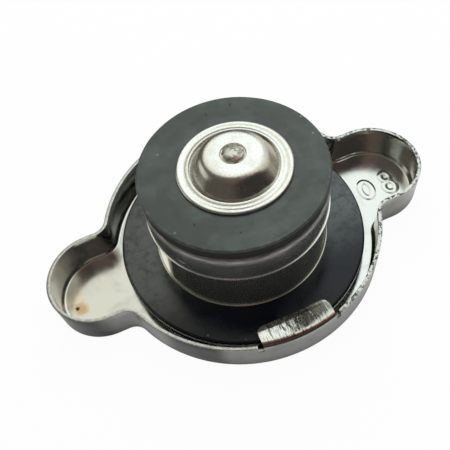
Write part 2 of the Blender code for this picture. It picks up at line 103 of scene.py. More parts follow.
# The studio that bright metal reflects: a dim room, and patches over it, each by its direction, the
# cosines of the angles at which it starts and is full, and its colour
ROOM_COLOUR = (0.10, 0.09, 0.075)
STUDIO_PATCHES = (
    ((0.22, -0.60, 0.77), 0.66, 0.84, (0.145, 0.100, 0.084)),
    ((0.22, -0.60, 0.77), 0.92, 0.98, (0.070, 0.046, 0.042)),
    ((0.35, -0.90, 0.25), 0.60, 0.85, (0.040, 0.036, 0.032)),
    ((0.78, 0.60, 0.15), 0.91, 0.97, (0.80, 0.79, 0.68)),
    ((0.58, 0.08, 0.81), 0.90, 0.975, (0.85, 0.84, 0.74)),
    ((-0.83, 0.52, 0.20), 0.90, 0.96, (0.90, 0.90, 0.78)),
    ((0.18, 0.58, 0.795), 0.84, 0.93, (0.91, 0.90, 0.79)),
    ((0.40, 0.52, 0.75), 0.90, 0.98, (1.12, 1.22, 1.20)),
)
LIT_POINT = (0.0, 0.0, 0.01)
FLOOR_DROP = 0.00005
FLOOR_SIZE = 1.5

# The camera's place, and its right, up and back directions
CAMERA_PLACE = (-0.01816, -0.05967, 0.10068)
CAMERA_AXES = ((0.91728, -0.3855, -0.09994), (0.37511, 0.75203, 0.54198), (-0.13378, -0.53464, 0.83443))

# A ridge of the pressed number, from its foot to its middle: shares of half its width and of its rise
NUMBER_RIDGE = ((-1.2, -0.06), (-1.0, 0.10), (-0.72, 0.55), (-0.38, 0.93), (0.0, 1.0))

# The loops of a plain "08": centre, then half width and half height
NUMBER_LOOPS = (
    ((0.02950, -0.00106), (0.00130, 0.00215)),
    ((0.03455, -0.00250), (0.00125, 0.00140)),
    ((0.03490, 0.00020), (0.00100, 0.00115)),
)
NUMBER_STEPS = 48


def amounts(name, description, default, **kind):
    return FloatProperty(name=name, description=description, default=default, **kind)


def lengths(name, description, default):
    return amounts(name, description, default, unit="LENGTH", precision=5)


def angles(name, description, degrees):
    return amounts(name, description, math.radians(degrees), subtype="ANGLE")


def colours(name, description, default):
    return FloatVectorProperty(
        name=name, description=description, default=default, subtype="COLOR", size=3, min=0.0, max=1.0
    )


class ShellSettings(PropertyGroup):
    sheet: lengths("Sheet", "Thickness of the shell's sheet", 0.0007)
    skirt_radius: lengths("Skirt radius", "Outer radius of the skirt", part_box("shell")[1].y)
    height: lengths("Height", "Height of the skirt's rim", 0.0083)
    corner: lengths("Corner", "Radius of the drawn corner under the skirt", 0.0014)
    ear_radius: lengths("Ear radius", "Outer radius of a finger ear", 0.0098)
    ear_fillet: lengths("Ear fillet", "Radius where an ear runs into the skirt", 0.0030)
    tab_width: lengths("Tab width", "Width of a cam tab", 0.0142)
    tab_length: lengths("Tab length", "How far a cam tab reaches inwards", 0.0048)
    tab_rise: lengths("Tab rise", "How far a cam tab's top stands over the rim", 0.0003)
    tab_droop: lengths("Tab droop", "How far a cam tab's end hangs under its fold", 0.00004)
    tab_bend: lengths("Tab bend", "Inner radius of a cam tab's bend", 0.0005)
    tab_corner: lengths("Tab corner", "Radius of a cam tab's corners", 0.0013)
    notch_width: lengths("Notch width", "Width of the slot beside a cam tab", 0.0011)
    notch_depth: lengths("Notch depth", "Depth of the slot beside a cam tab", 0.0016)
    dimple_radius: lengths("Dimple radius", "Outer radius of the dimple in the middle", 0.0080)
    dimple_depth: lengths("Dimple depth", "Depth of the dimple in the middle", 0.0013)
    number_stroke: lengths("Number stroke", "Width of the pressed number's strokes", 0.00135)
    number_rise: lengths("Number rise", "How far the pressed number stands over the floor", 0.00013)
    number_turn: angles("Number turn", "Turn of the pressed number", -10.0)
    # Darker than the inside chrome of the same plating: painted shade
    outside_colour: colours("Outside", "Chrome on the skirt's outer wall", (0.44, 0.44, 0.42))
    inside_colour: colours("Inside", "Chrome on the floor and inner walls", (0.76, 0.765, 0.73))
    stain_colour: colours("Stain", "Rust stain in the left ear", (0.60, 0.38, 0.13))


class PlungerSettings(PropertyGroup):
    can_radius: lengths("Can radius", "Outer radius of the spring can at its base", 0.0174)
    can_taper: lengths("Can taper", "How much the can narrows upwards", 0.0007)
    can_corner: lengths("Can corner", "Radius at the can's base", 0.0010)
    can_foot: lengths("Can foot", "Width of the sloping foot where the can meets the gasket", 0.00035)
    can_sheet: lengths("Can sheet", "Thickness of the can's sheet", 0.0005)
    gasket_edge: lengths("Gasket edge", "Rounding of the gasket's edges", 0.0003)
    can_colour: colours("Can", "Plated steel of the spring can", (0.62, 0.64, 0.57))
    gasket_colour: colours("Gasket", "Rubber of the neck gasket", (0.003, 0.005, 0.010))


class ValveSettings(PropertyGroup):
    cup_sheet: lengths("Cup sheet", "Thickness of the valve cup's sheet", 0.00045)
    cup_flare: lengths("Cup flare", "How far the cup's rim flares outwards", 0.00020)
    cup_corner: lengths("Cup corner", "Radius of the valve cup's upper corner", 0.0015)
    stake_angle: angles("Stake angle", "Direction of the first stake around the cup", 34.0)
    stake_count: IntProperty(
        name="Stakes", description="Stakes pressed into the cup's wall", default=4, min=1
    )
    stake_width: lengths("Stake width", "Width of a stake along the wall", 0.0018)
    stake_height: lengths("Stake height", "Height of a stake", 0.0010)
    stake_depth: lengths("Stake depth", "How deep a stake is pressed in", 0.00010)
    seal_edge: lengths("Seal edge", "Rounding of the rubber seal's edges", 0.0002)
    flange_overhang: lengths("Flange overhang", "Roll at the vacuum disc's edge", 0.00012)
    stem_head: lengths("Stem head", "Radius of the stem's peened head and its foot", 0.00208)
    stem_shoulder: lengths("Stem shoulder", "Radius of the shoulder under the stem's head", 0.0030)
    seal_recess: lengths("Seal recess", "Radius of the seal's inner recess", 0.0095)
    cup_colour: colours("Cup", "Plated steel of the valve cup", (0.45, 0.47, 0.455))
    seal_colour: colours("Seal", "Rubber of the pressure seal", (0.036, 0.046, 0.041))
    nickel_colour: colours("Nickel", "Satin nickel of the vacuum disc", (0.95, 0.95, 0.91))
    stem_colour: colours("Stem", "Peened steel of the vacuum stem", (0.78, 0.76, 0.68))


class SpringSettings(PropertyGroup):
    main_wire: lengths("Main wire", "Wire of the main spring", 0.0022)
    main_turns: amounts("Main turns", "Turns of the main spring", 4.25, min=3.0)
    vacuum_wire: lengths("Vacuum wire", "Wire of the vacuum spring", 0.0006)
    vacuum_turns: amounts("Vacuum turns", "Turns of the vacuum spring", 5.0, min=3.0)
    spring_colour: colours("Spring", "Dark steel of the springs", (0.30, 0.30, 0.30))


class StageSettings(PropertyGroup):
    lens: amounts("Lens", "Focal length of the camera in millimetres", 43.9425)
    floor_colour: colours("Floor", "Colour of the floor", (0.80, 0.80, 0.80))
    key_power: amounts("Key light", "Power of the soft light behind", 1.3, unit="POWER")
    fill_power: amounts("Fill light", "Power of the soft light above", 0.3, unit="POWER")
    sky: amounts("Sky", "Strength of the even light all round", 0.45, min=0.0)


# Node helpers


def feed(socket, value):
    """Links an output into a socket, or sets the socket to a plain value; None leaves it alone."""
    if isinstance(value, bpy.types.NodeSocket):
        socket.id_data.links.new(value, socket)
    elif value is not None:
        socket.default_value = (*value, 1.0) if socket.type == "RGBA" else value


def set_all(thing, **settings):
    for name, value in settings.items():
        setattr(thing, name, value)
    return thing


def new_node(kind, values, **settings):
    """Adds a node to the tree of the outputs that feed it; its inputs are given by place or by name."""
    values = values if isinstance(values, dict) else dict(enumerate(values))
    tree = next(value.id_data for value in values.values() if isinstance(value, bpy.types.NodeSocket))
    node = set_all(tree.nodes.new(kind), **settings)
    for label, value in values.items():
        feed(node.inputs[label], value)
    return node


def maths(operation, a, b=None, clamp=False):
    return new_node("ShaderNodeMath", (a, b), operation=operation, use_clamp=clamp).outputs[0]


def times(a, b):
    return maths("MULTIPLY", a, b)


def vectors(operation, a, b=None, output="Vector"):
    return new_node("ShaderNodeVectorMath", (a, b), operation=operation).outputs[output]


def stretched(where, stretch):
    return vectors("MULTIPLY", where, stretch)


def axes(where):
    return new_node("ShaderNodeSeparateXYZ", (where,)).outputs


def ramp(value, low, high, to_low=0.0, to_high=1.0):
    values = (value, low, high, to_low, to_high)
    return new_node("ShaderNodeMapRange", values, interpolation_type="SMOOTHSTEP").outputs["Result"]


def mixed(share, a, b):
    """Mixes two colours by a share from 0 to 1."""
    values = {"Factor": share, "A": a, "B": b}
    return new_node("ShaderNodeMix", values, data_type="RGBA").outputs["Result"]


def cloud(where, scale, detail=4.0, roughness=0.55, distortion=0.0):
    values = {"Vector": where, "Scale": scale, "Detail": detail}
    values |= {"Roughness": roughness, "Distortion": distortion}
    return new_node("ShaderNodeTexNoise", values).outputs["Fac"]


def bump(height, depth, strength, normal=None):
    values = {"Height": height, "Distance": depth, "Strength": strength, "Normal": normal}
    return new_node("ShaderNodeBump", values).outputs["Normal"]


def scaled(colour, factor):
    return tuple(c * factor for c in colour)


def start_group(name, **inputs):
    """A new shader node group with its named inputs: numbers, and vectors with or without a default."""
    tree = bpy.data.node_groups.new(name, "ShaderNodeTree")
    for label, default in inputs.items():
        kind = "NodeSocketFloat" if isinstance(default, float) else "NodeSocketVector"
        socket = tree.interface.new_socket(name=label, in_out="INPUT", socket_type=kind)
        if default is not None:
            socket.default_value = default
    return tree, tree.nodes.new("NodeGroupInput").outputs


def end_group(tree, **outputs):
    """Gives a node group its named outputs, each of the kind that feeds it."""
    for label, value in outputs.items():
        kind = "NodeSocketFloat" if value.type == "VALUE" else "NodeSocketVector"
        tree.interface.new_socket(name=label, in_out="OUTPUT", socket_type=kind)
    sockets = tree.nodes.new("NodeGroupOutput").inputs
    for label, value in outputs.items():
        feed(sockets[label], value)


def use_group(group, **values):
    return new_node("ShaderNodeGroup", values, node_tree=bpy.data.node_groups[group]).outputs


# Effects that several finishes share


def group_specks():
    """Small scattered spots, such as dust and pits, of one size."""
    tree, given = start_group("Specks", Where=None, Scale=900.0, Size=0.12, Share=0.3)
    values = {"Vector": given["Where"], "Scale": given["Scale"]}
    spots = new_node("ShaderNodeTexVoronoi", values, feature="F1").outputs
    near = ramp(spots["Distance"], given["Size"], times(given["Size"], 0.55))
    pick = new_node("ShaderNodeSeparateColor", (spots["Color"],)).outputs[0]
    end_group(tree, Mask=times(near, maths("LESS_THAN", pick, given["Share"])))


def group_spot():
    """A soft ragged spot around one point, such as a stain."""
    tree, given = start_group(
        "Spot", Where=None, Centre=(0.0, 0.0, 0.0), Radius=0.002, Raggedness=0.5, Scale=900.0
    )
    apart = vectors("DISTANCE", given["Where"], given["Centre"], "Value")
    ragged = maths("SUBTRACT", cloud(given["Where"], given["Scale"], 3.0), 0.5)
    ragged = times(times(ragged, given["Raggedness"]), given["Radius"])
    edge = maths("ADD", apart, times(ragged, 2.0))
    end_group(tree, Mask=ramp(edge, given["Radius"], times(given["Radius"], 0.35)))


def group_grain():
    """Fine even grain as a share and a height, with a coarser drift over it."""
    tree, given = start_group("Grain", Where=None, Fine=4000.0, Coarse=250.0)
    fine = cloud(given["Where"], given["Fine"], 3.0, 0.6)
    coarse = cloud(given["Where"], given["Coarse"], 4.0, 0.6, 0.4)
    end_group(tree, Grain=fine, Drift=coarse)


def group_turned_place():
    """Distance from an upright axis, height and direction around it, for marks on a turned piece."""
    tree, given = start_group("Turned place", Where=None, Centre=(0.0, 0.0, 0.0))
    apart = axes(vectors("SUBTRACT", given["Where"], given["Centre"]))
    flat = new_node("ShaderNodeCombineXYZ", (apart["X"], apart["Y"])).outputs[0]
    radius = vectors("LENGTH", flat, output="Value")
    end_group(tree, Radius=radius, Height=apart["Z"], Around=vectors("NORMALIZE", flat))


def group_tilt():
    """A surface's normal leant towards a direction where a mask says so."""
    tree, given = start_group("Tilt", Mask=0.0, Towards=(0.0, 0.0, 1.0))
    values = {0: given["Towards"], "Scale": given["Mask"]}
    lean = new_node("ShaderNodeVectorMath", values, operation="SCALE").outputs[0]
    normal = tree.nodes.new("ShaderNodeNewGeometry").outputs["Normal"]
    end_group(tree, Normal=vectors("NORMALIZE", vectors("ADD", normal, lean)))


def grains(where, fine, coarse):
    return use_group("Grain", Where=where, Fine=fine, Coarse=coarse)


def specks(where, scale, size, share):
    return use_group("Specks", Where=where, Scale=scale, Size=size, Share=share)["Mask"]


def spot(where, centre, radius, raggedness, scale):
    values = {"Centre": centre, "Radius": radius, "Raggedness": raggedness, "Scale": scale}
    return use_group("Spot", Where=where, **values)["Mask"]


def leant(mask, towards):
    return use_group("Tilt", Mask=mask, Towards=towards)["Normal"]


# Finishes


def new_finish(name, metallic, roughness, colour, **sockets):
    """A material with a Principled BSDF whose even values are set on its own sockets."""
    material = bpy.data.materials.new(name)
    material.use_nodes = True
    tree = material.node_tree
    shader = tree.nodes["Principled BSDF"]
    even = {"Base_Color": colour, "Metallic": metallic, "Roughness": roughness, **sockets}
    for label, value in even.items():
        feed(shader.inputs[label.replace("_", " ")], value)
    return material, shader, tree.nodes.new("ShaderNodeTexCoord").outputs["Object"]


def lay_over(shader, share, colour, under=None):
    """Lays a colour by a share over what feeds the base colour, or over a first plain one."""
    base = shader.inputs["Base Color"]
    feed(base, mixed(share, under or base.links[0].from_socket, colour))


def finish_chrome(name, colour, rough, handled):
    """Chrome plate: clean and bright, with cloudy handling marks and a few dust specks."""
    material, shader, where = new_finish(name, 1.0, rough, colour)
    grain = grains(where, 2600.0, 160.0)
    smudge = ramp(grain["Drift"], 0.48, 0.72)
    dust = specks(where, 700.0, 0.10, 0.10)
    lay_over(shader, smudge, scaled(colour, 1.0 - handled), colour)
    lay_over(shader, times(dust, 0.6), scaled(colour, 0.4))
    feed(shader.inputs["Roughness"], ramp(grain["Drift"], 0.35, 0.75, rough, rough + 0.16))
    feed(shader.inputs["Normal"], bump(grain["Drift"], 0.00004, 0.35))
    return material, shader, where


def chrome_outside(settings):
    """The outer chrome, darker than the inner chrome as painted shade, with more painted shade towards its
    foot and a painted dark reflection on the left of its front.
    """
    colour = tuple(settings.outside_colour)
    material, shader, where = finish_chrome("chrome outside", colour, 0.14, 0.20)
    at = axes(where)
    # Painted dark reflection over the left of the front and a little in the middle, spared at the left ear's
    # neck
    neck = times(ramp(at["X"], -0.0345, -0.0285), ramp(at["X"], -0.0205, -0.0235))
    left = times(ramp(at["X"], -0.0125, -0.0155), 0.80)
    middle = times(ramp(at["X"], 0.008, -0.006), 0.12)
    painted_dark_reflection = times(maths("ADD", left, middle), maths("SUBTRACT", 1.0, neck))
    painted_dark_reflection = times(painted_dark_reflection, ramp(at["Y"], 0.0030, -0.0030))
    # Painted shade towards the foot of the skirt
    foot = times(ramp(at["Z"], 0.0048, 0.0006), 0.55)
    lay_over(shader, maths("ADD", painted_dark_reflection, foot, True), scaled(colour, 0.12))
    return material


def chrome_inside(settings):
    """The inner chrome, with a rust stain and its dark fleck in the left ear, and a pale, less metallic patch
    on that ear's wall as a painted reflection.
    """
    colour, stain = tuple(settings.inside_colour), tuple(settings.stain_colour)
    material, shader, where = finish_chrome("chrome inside", colour, 0.12, 0.10)
    halo = spot(where, (-0.0363, -0.0014, 0.0007), 0.0019, 0.5, 520.0)
    slanted = stretched(where, (1.0, 0.7, 1.0))
    fleck = spot(slanted, (-0.0372, -0.0006, 0.0007), 0.00050, 1.3, 1700.0)
    wide = spot(where, (-0.0374, 0.0012, 0.0007), 0.0030, 0.4, 420.0)
    streak = cloud(stretched(where, (0.35, 1.0, 1.0)), 750.0, 2.0)
    streak = times(ramp(streak, 0.52, 0.62), wide)
    # A pale, less metallic patch with a browner cloud on the left ear's wall: a painted reflection, not a
    # film
    film = spot(where, (-0.0400, 0.0035, 0.0055), 0.0090, 0.1, 300.0)
    film = times(film, ramp(axes(where)["Z"], 0.0014, 0.0022))
    brown = ramp(cloud(stretched(where, (1.0, 1.0, 0.2)), 420.0, 2.0), 0.40, 0.62)
    lay_over(shader, times(wide, 0.35), (0.86, 0.66, 0.42))
    lay_over(shader, times(streak, 0.40), stain)
    lay_over(shader, times(halo, 0.80), stain)
    lay_over(shader, fleck, (0.06, 0.025, 0.02))
    lay_over(shader, film, mixed(brown, (1.0, 0.97, 0.78), (0.80, 0.72, 0.54)))
    dull = maths("MAXIMUM", times(halo, 0.3), times(film, 0.95))
    feed(shader.inputs["Metallic"], maths("SUBTRACT", 1.0, dull, True))
    return material


def chrome_edge(settings):
    """The sheared edge of the sheet: bright, and torn on the right side."""
    colour = tuple(min(1.0, c * 1.10) for c in settings.inside_colour)
    material, shader, where = new_finish("chrome edge", 1.0, 0.25, colour)
    grain = grains(where, 1500.0, 420.0)
    ragged = ramp(axes(where)["X"], 0.002, 0.012, 0.25, 1.0)
    torn = times(ramp(grain["Grain"], 0.53, 0.44), ragged)
    lay_over(shader, torn, scaled(colour, 0.15), scaled(colour, 0.8))
    feed(shader.inputs["Roughness"], ramp(grain["Drift"], 0.3, 0.7, 0.34, 0.20))
    feed(shader.inputs["Normal"], bump(times(grain["Grain"], ragged), 0.00010, 0.7))
    return material


def chrome_tab(settings):
    """The folded tab: bright at its left end, scored across, with painted shade towards its right end and a
    painted reflection along its bend.
    """
    # One tenth brighter than the inner chrome of the same sheet: a painted highlight
    colour = scaled(settings.inside_colour, 1.1)
    material, shader, where = new_finish("chrome tab", 1.0, 0.10, colour)
    scores = cloud(stretched(where, (1.0, 0.10, 0.10)), 2300.0, 4.0, 0.75)
    broken = cloud(stretched(where, (1.0, 0.5, 0.5)), 900.0, 3.0, 0.6)
    at = axes(where)
    # Painted shade over the tab's right end, its edge wandering along the scores and kept off the tab's end
    wander = times(maths("SUBTRACT", scores, 0.5), 0.032)
    dull = ramp(maths("ADD", at["X"], wander), -0.0016, -0.0004)
    lip = ramp(at["Y"], -0.02405, -0.02375)
    dull = maths("SUBTRACT", dull, times(lip, 0.8), True)
    tilted = leant(times(dull, ramp(scores, 0.66, 0.55)), (0.0, 0.16, 0.0))
    # A painted reflection on the bend: pale pink, with a dark red band across it
    fold = ramp(at["Z"], 0.00856, 0.00850)
    dark_reflection_band = times(ramp(at["Z"], 0.00822, 0.00830), ramp(at["Z"], 0.00846, 0.00838))
    lay_over(shader, ramp(scores, 0.48, 0.40), scaled(colour, 0.34), colour)
    lay_over(shader, times(dull, 0.5), (0.42, 0.40, 0.30))
    lay_over(shader, fold, mixed(dark_reflection_band, (0.50, 0.26, 0.25), (0.95, 0.80, 0.76)))
    feed(shader.inputs["Roughness"], ramp(broken, 0.35, 0.65, 0.06, 0.20))
    relief = maths("ADD", times(scores, 0.7), times(broken, 0.3))
    feed(shader.inputs["Normal"], bump(relief, 0.00006, 0.7, tilted))
    return material


def plated_steel(name, colour, rough, haze, metallic=1.0):
    """Smooth plated steel with faint drawing lines around it and a hazy film."""
    material, shader, where = new_finish(name, metallic, rough, colour)
    around = use_group("Turned place", Where=where)
    grain = grains(where, 2400.0, 220.0)
    lines = cloud(stretched(where, (0.04, 0.04, 1.0)), 5200.0, 2.0)
    rings = cloud(around["Radius"], 5200.0, 2.0)
    film = times(ramp(grain["Drift"], 0.40, 0.70), haze)
    lay_over(shader, film, scaled(colour, 0.6), colour)
    feed(shader.inputs["Roughness"], ramp(grain["Drift"], 0.3, 0.7, rough, rough + 0.12))
    marks = maths("ADD", times(lines, 0.6), times(rings, 0.3))
    feed(shader.inputs["Normal"], bump(marks, 0.00001, 0.25))
    return material, shader, where


def can_steel(settings):
    """The can's steel, with a painted highlight on the left flank, where the wall is pressed in and leans
    upwards.
    """
    colour = tuple(settings.can_colour)
    material, shader, where = plated_steel("can steel", colour, 0.12, 0.5, 0.9)
    at = axes(where)
    flank = ramp(at["X"], -0.0140, -0.0162)
    front = ramp(at["Y"], -0.0074, -0.0028)
    rear = ramp(at["Y"], 0.0080, 0.0010)
    # Near-white colour on the pressed-in left flank: a painted highlight, over the normal that leans upwards
    # there
    dent_and_painted_highlight = maths("POWER", times(flank, times(front, rear)), 1.8)
    lay_over(shader, dent_and_painted_highlight, (0.92, 0.92, 0.85))
    marks = shader.inputs["Normal"].links[0].from_node
    feed(marks.inputs["Normal"], leant(dent_and_painted_highlight, (0.0, 0.0, 1.25)))
    return material


def cup_steel(settings, top, bottom):
    """The cup's dark wall under a paler, brushed shoulder, with a painted highlight along its lower rim."""
    colour = tuple(settings.cup_colour)
    material, shader, where = plated_steel("cup steel", colour, 0.18, 0.4, 0.85)
    height = use_group("Turned place", Where=where)["Height"]
    shoulder = ramp(height, top - 0.0024, top - 0.0016)
    lines = cloud(stretched(where, (0.10, 0.10, 1.0)), 4200.0, 3.0)
    pale = mixed(ramp(lines, 0.35, 0.65), (0.24, 0.23, 0.225), (0.46, 0.44, 0.44))
    # A painted highlight along the flared lower rim
    rim = ramp(height, bottom + 0.00034, bottom + 0.00026)
    lay_over(shader, rim, (0.92, 0.92, 0.88))
    lay_over(shader, shoulder, pale)
    feed(shader.inputs["Roughness"], ramp(shoulder, 0.0, 1.0, 0.20, 0.42))
    return material


def satin_nickel(settings, centre):
    """Grainy satin nickel with a brownish film, and painted shade on the dome's wall and in its trough."""
    colour = tuple(settings.nickel_colour)
    material, shader, where = new_finish("satin nickel", 1.0, 0.30, colour)
    around = use_group("Turned place", Where=where, Centre=(*centre, 0.0))
    radius = around["Radius"]
    wall = times(ramp(radius, 0.0052, 0.0062), ramp(radius, 0.0084, 0.0080))
    streaks = cloud(around["Around"], 26.0, 3.0, 0.6)
    drawn = times(wall, ramp(streaks, 0.58, 0.40))
    grain = grains(where, 3200.0, 420.0)
    mottled = ramp(grain["Grain"], 0.36, 0.62)
    film = times(ramp(grain["Drift"], 0.48, 0.75), 0.25)
    lay_over(shader, mottled, colour, scaled(colour, 0.88))
    lay_over(shader, film, (colour[0] * 0.72, colour[1] * 0.62, colour[2] * 0.50))
    # Painted shade, darker and browner, on the dome's wall and in its trough
    lay_over(shader, times(wall, 0.6), (0.56, 0.51, 0.44))
    lay_over(shader, times(drawn, 0.35), scaled(colour, 0.45))
    feed(shader.inputs["Roughness"], ramp(grain["Drift"], 0.3, 0.7, 0.20, 0.29))
    lit_side = times(wall, ramp(axes(around["Around"])["X"], 0.25, 0.95))
    tilted = leant(lit_side, (0.0, 0.0, 1.15))
    feed(shader.inputs["Normal"], bump(grain["Grain"], 0.00003, 0.45, tilted))
    return material


def peened_steel(settings):
    """The stem's peened head: hammered and dull, with reddish rust spots."""
    colour = tuple(settings.stem_colour)
    material, shader, where = new_finish("peened steel", 1.0, 0.34, colour)
    grain = grains(where, 2600.0, 1100.0)
    blotch = ramp(grain["Drift"], 0.38, 0.56)
    bright = tuple(min(1.0, c * 1.25) for c in colour)
    rust = spot(where, (0.0003, -0.0019, 0.0283), 0.0009, 1.6, 1500.0)
    lay_over(shader, blotch, bright, scaled(colour, 0.55))
    lay_over(shader, times(rust, 0.75), (0.20, 0.06, 0.04))
    feed(shader.inputs["Metallic"], maths("SUBTRACT", 1.0, times(rust, 0.5), True))
    feed(shader.inputs["Normal"], bump(grain["Drift"], 0.00025, 0.8))
    return material


def moulded_rubber(name, colour, rough, shine, dirt, cloudiness, gloss):
    """Moulded rubber: cloudy and unevenly glossy, with pits and pale specks."""
    material, shader, where = new_finish(
        name, 0.0, rough, colour, Specular_IOR_Level=shine, Coat_Roughness=0.26, Coat_IOR=1.7
    )
    grain = grains(where, 3000.0, 170.0)
    bloom = times(ramp(grain["Drift"], 0.38, 0.74), cloudiness)
    mottle = ramp(cloud(where, 620.0, 5.0, 0.7), 0.34, 0.70)
    pale = specks(where, 330.0, 0.085, dirt)
    pits = specks(stretched(where, (1.3, 0.9, 1.1)), 290.0, 0.100, dirt)
    lay_over(shader, bloom, tuple(c * 2.0 + 0.003 for c in colour), colour)
    lay_over(shader, times(pale, 0.5), (0.30, 0.31, 0.30))
    lay_over(shader, times(pits, 0.8), (0.006, 0.007, 0.008))
    feed(shader.inputs["Coat Weight"], times(maths("ADD", mottle, 0.45, True), gloss))
    feed(shader.inputs["Roughness"], ramp(grain["Drift"], 0.3, 0.75, rough - 0.07, rough + 0.14))
    height = maths("SUBTRACT", times(grain["Grain"], 0.35), pits)
    feed(shader.inputs["Normal"], bump(height, 0.00008, 0.6))
    return material, shader, where


def gasket_rubber(settings):
    """The gasket's rubber: painted lighter and glossier behind the can, and black at its front as painted
    shade.
    """
    colour = tuple(settings.gasket_colour)
    material, shader, where = moulded_rubber("gasket rubber", colour, 0.22, 0.35, 0.10, 0.6, 1.0)
    # Painted light: lighter and glossier behind the can, and black at the front as painted shade
    behind = ramp(axes(where)["Y"], -0.0170, -0.0040)
    black = shader.inputs["Base Color"].links[0].from_socket
    lay_over(shader, behind, mixed(0.5, black, (0.016, 0.028, 0.025)))
    coat = shader.inputs["Coat Weight"]
    feed(coat, times(coat.links[0].from_socket, behind))
    return material


def seal_rubber(settings, radius, face):
    """The seal's rubber: its side is painted black as shade, and its rim is scuffed."""
    colour = tuple(settings.seal_colour)
    material, shader, where = moulded_rubber("seal rubber", colour, 0.50, 0.6, 0.42, 0.7, 0.22)
    around = use_group("Turned place", Where=where)
    rim = ramp(around["Radius"], radius - 0.0009, radius - 0.0002)
    chips = cloud(stretched(where, (1.0, 1.0, 0.5)), 900.0, 4.0, 0.6)
    chips = ramp(chips, 0.50, 0.66)
    # The seal's side painted near black as shade, apart from paler rubbed chips towards the right
    side = ramp(around["Height"], face - 0.00022, face - 0.00045)
    rubbed = times(ramp(axes(where)["X"], 0.004, 0.012), chips)
    lay_over(shader, times(times(rim, chips), 0.5), (0.13, 0.13, 0.12))
    lay_over(shader, side, mixed(rubbed, (0.004, 0.004, 0.004), (0.045, 0.045, 0.042)))
    feed(shader.inputs["Roughness"], ramp(side, 0.0, 1.0, 0.52, 0.75))
    return material


# Shapes


def fillet(profile, steps=FILLET_STEPS):
    """Rounds a profile's inner corners by the radius that a point may carry as its third number."""
    points = [point[:2] for point in profile]
    rounded = [points[0]]
    for before, corner, after, (_, _, *radius) in zip(points, points[1:], points[2:], profile[1:]):
        if not radius:
            rounded.append(corner)
            continue
        corner = Vector(corner)
        into, out = Vector(before) - corner, Vector(after) - corner
        start = corner + into.normalized() * min(radius[0], into.length * 0.5)
        end = corner + out.normalized() * min(radius[0], out.length * 0.5)
        for step in range(steps + 1):
            share = step / steps
            point = start * (1 - share) ** 2 + corner * 2 * share * (1 - share) + end * share**2
            rounded.append((point.x, point.y))
    rounded.append(points[-1])
    return rounded


def arc(centre, radius, start, end, steps):
    """Points of an arc in the profile plane, from one angle in degrees to another."""
    points = []
    for step in range(steps + 1):
        angle = math.radians(start + (end - start) * step / steps)
        points.append((centre[0] + radius * math.cos(angle), centre[1] + radius * math.sin(angle)))
    return points


def outwards(angle):
    return Vector((math.cos(angle), math.sin(angle), 0.0))


def strip(mesh, first, second, steps, finish=0):
    """Joins two rows of points with faces, from each step to the next one around."""
    for i in steps:
        j = (i + 1) % len(first)
        mesh.faces.new((first[i], second[i], second[j], first[j])).material_index = finish


def finished(name, mesh, face_out=True, sharp=True):
    """Turns a bmesh into smoothly shaded mesh data, with sharp edges where it bends strongly."""
    if face_out:
        bmesh.ops.recalc_face_normals(mesh, faces=mesh.faces)
    data = bpy.data.meshes.new(name)
    mesh.to_mesh(data)
    mesh.free()
    data.shade_smooth()
    if sharp:
        data.set_sharp_from_angle(angle=SHARP_ANGLE)
    return data


def new_object(name, data):
    thing = bpy.data.objects.new(name, data)
    bpy.context.scene.collection.objects.link(thing)
    return thing


def new_piece(name, mesh, body, materials, replaced):
    """Links a finished mesh as a piece that rides on a body and stands for CAD nodes."""
    piece = new_object(name, mesh)
    for material in materials:
        mesh.materials.append(material)
    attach(piece, body)
    if replaced:
        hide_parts(*replaced)
    return piece


def turned_mesh(name, profile, closed=True, centre=(0.0, 0.0), segments=TURNED_SEGMENTS, shape=None):
    """Turns a profile of (radius, height) about an upright axis; shape may move each point."""
    mesh = bmesh.new()
    rings = []
    for radius, height in profile:
        if radius < ON_AXIS:
            rings.append([mesh.verts.new((centre[0], centre[1], height))])
            continue
        ring = []
        for step in range(segments):
            angle = math.tau * step / segments
            x, y = centre[0] + radius * math.cos(angle), centre[1] + radius * math.sin(angle)
            point = Vector((x, y, height))
            ring.append(mesh.verts.new(shape(point, radius, angle) if shape else point))
        rings.append(ring)
    pairs = list(zip(rings, rings[1:]))
    if closed:
        pairs.append((rings[-1], rings[0]))
    for upper, lower in pairs:
        for step in range(segments):
            after = (step + 1) % segments
            corners = [(upper, step), (lower, step), (lower, after), (upper, after)]
            corners = [ring[place % len(ring)] for ring, place in corners]
            unique = [v for i, v in enumerate(corners) if v not in corners[:i]]
            if len(unique) > 2:
                mesh.faces.new(unique)
    return finished(name, mesh)


# The shell


def outline_quarter(shell, inset):
    """A quarter of the shell's outline, from an ear's tip to the middle of a tab."""
    ear_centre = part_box("shell")[1].x - shell.ear_radius
    fillet_y = shell.ear_radius + shell.ear_fillet
    fillet_x = math.sqrt((shell.skirt_radius + shell.ear_fillet) ** 2 - fillet_y**2)
    start = math.degrees(math.atan2(fillet_y, fillet_x))
    points = arc((ear_centre, 0.0), shell.ear_radius - inset, 0.0, 90.0, EAR_STEPS)
    points += arc((fillet_x, fillet_y), shell.ear_fillet + inset, 270.0, 180.0 + start, EAR_FILLET_STEPS)
    radius = shell.skirt_radius - inset
    for angle in skirt_angles(shell, start):
        points.append((radius * math.cos(math.radians(angle)), radius * math.sin(math.radians(angle))))
    points[-1] = (0.0, points[-1][1])
    return points


def tab_columns(shell):
    """Half a tab's columns from its side to its middle: x, and how far its end is rounded back."""
    half, corner = shell.tab_width / 2, shell.tab_corner
    turns = [math.radians(90.0 * step / CORNER_STEPS) for step in range(CORNER_STEPS + 1)]
    columns = [(half - corner * (1 - math.cos(turn)), corner * (1 - math.sin(turn))) for turn in turns]
    flat = half - corner
    return columns + [(flat * (1 - (step + 1) / TAB_STEPS), 0.0) for step in range(TAB_STEPS)]


